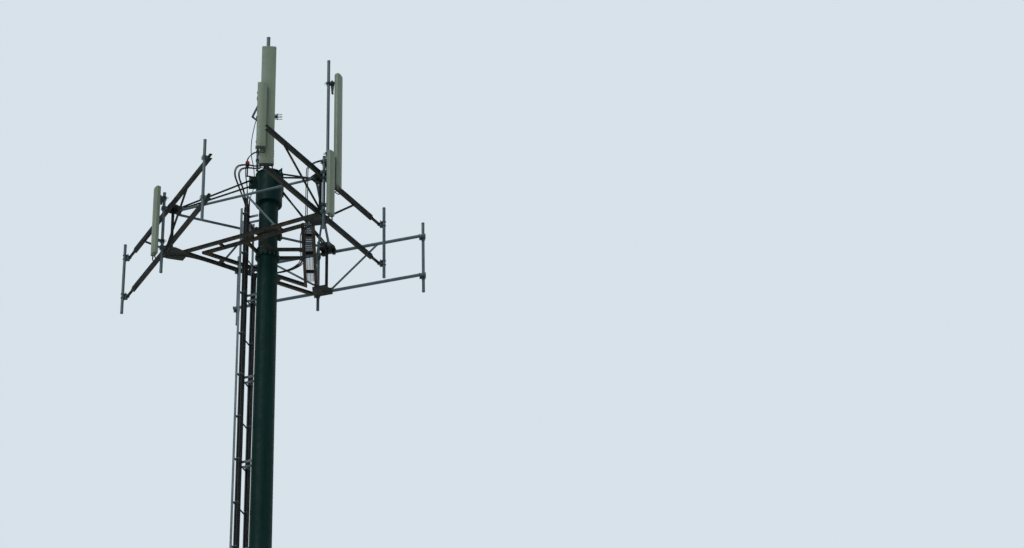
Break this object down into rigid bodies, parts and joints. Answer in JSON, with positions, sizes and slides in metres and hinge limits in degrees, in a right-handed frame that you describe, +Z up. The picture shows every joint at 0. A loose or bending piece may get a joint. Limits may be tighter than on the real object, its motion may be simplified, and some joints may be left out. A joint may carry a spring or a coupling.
{
  "type": "cell tower",
  "caption": "Tall tapered steel monopole with a triangular antenna head, sector frames, panel antennas, a coax ladder up one side and a short top mast.",
  "frame": {"origin": "centre of the underside of the base flange, the face that stands on its foundation", "axes": "+Z up along the pole; X to the right and Y away from the viewer in the picture's rest view"},
  "size_m": [6.0275, 5.1138, 38.76],
  "materials": {
    "base_flange": "dark bottle green paint, satin",
    "shaft_lower": "dark bottle green paint, satin",
    "shaft_middle": "dark bottle green paint, satin",
    "shaft_upper": "dark bottle green paint, satin",
    "neck": "dark bottle green paint, satin",
    "head_drum": "dark bottle green paint, satin",
    "neck_collar": "very dark paint, weathered",
    "platform_arms": "very dark paint, weathered",
    "access_door": "dark bottle green paint, satin",
    "cable_entry": "dark bottle green paint, satin",
    "ladder_rails": "hot-dip galvanised, dull",
    "ladder_rungs": "hot-dip galvanised, dull",
    "coax_left": "black jacket, matt",
    "coax_right": "black jacket, matt",
    "walkway_ring": "very dark paint, weathered",
    "walkway_grating": "hot-dip galvanised, dull",
    "ring_ties": "hot-dip galvanised, dull",
    "head_struts": "very dark paint, weathered",
    "sector_1_frame": "very dark paint, weathered",
    "sector_1_joint": "very dark paint, weathered",
    "sector_1_pipes": "hot-dip galvanised, dull",
    "sector_1_clamps": "hot-dip galvanised, dull",
    "sector_1_short_panel": "khaki grey-green radome, matt",
    "sector_1_tall_panel": "khaki grey-green radome, matt",
    "sector_2_frame": "very dark paint, weathered",
    "sector_2_joint": "very dark paint, weathered",
    "sector_2_pipes": "hot-dip galvanised, dull",
    "sector_2_clamps": "hot-dip galvanised, dull",
    "sector_2_panel": "khaki grey-green radome, matt",
    "sector_3_frame": "hot-dip galvanised, dull",
    "sector_3_joint": "very dark paint, weathered",
    "sector_3_pipes": "hot-dip galvanised, dull",
    "sector_3_clamps": "hot-dip galvanised, dull",
    "panel_brackets": "hot-dip galvanised, dull",
    "mast": "hot-dip galvanised, dull",
    "mast_clamps": "hot-dip galvanised, dull",
    "mast_side_pipe": "hot-dip galvanised, dull",
    "mast_tall_panel": "khaki grey-green radome, matt",
    "mast_short_panel": "khaki grey-green radome, matt",
    "beacon_arm": "very dark paint, weathered",
    "beacon_lamp": "red lens, glossy",
    "head_box": "grey-blue paint, satin",
    "jumpers_mast": "black jacket, matt",
    "jumpers_sector_1": "black jacket, matt",
    "jumpers_sector_2": "black jacket, matt"
  },
  "bodies": {
    "root": {"base_flange": "base_flange", "shaft_lower": "shaft_lower", "shaft_middle": "shaft_middle", "shaft_upper": "shaft_upper", "neck": "neck", "head_drum": "head_drum", "neck_collar": "neck_collar", "platform_arms": "platform_arms", "access_door": "access_door", "cable_entry": "cable_entry", "ladder_rails": "ladder_rails", "ladder_rungs": "ladder_rungs", "coax_left": "coax_left", "coax_right": "coax_right", "walkway_ring": "walkway_ring", "walkway_grating": "walkway_grating", "ring_ties": "ring_ties", "head_struts": "head_struts", "sector_1_frame": "sector_1_frame", "sector_1_joint": "sector_1_joint", "sector_1_pipes": "sector_1_pipes", "sector_1_clamps": "sector_1_clamps", "sector_1_short_panel": "sector_1_short_panel", "sector_1_tall_panel": "sector_1_tall_panel", "sector_2_frame": "sector_2_frame", "sector_2_joint": "sector_2_joint", "sector_2_pipes": "sector_2_pipes", "sector_2_clamps": "sector_2_clamps", "sector_2_panel": "sector_2_panel", "sector_3_frame": "sector_3_frame", "sector_3_joint": "sector_3_joint", "sector_3_pipes": "sector_3_pipes", "sector_3_clamps": "sector_3_clamps", "panel_brackets": "panel_brackets", "mast": "mast", "mast_clamps": "mast_clamps", "mast_side_pipe": "mast_side_pipe", "mast_tall_panel": "mast_tall_panel", "mast_short_panel": "mast_short_panel", "beacon_arm": "beacon_arm", "beacon_lamp": "beacon_lamp", "head_box": "head_box", "jumpers_mast": "jumpers_mast", "jumpers_sector_1": "jumpers_sector_1", "jumpers_sector_2": "jumpers_sector_2"}
  },
  "joints": []
}
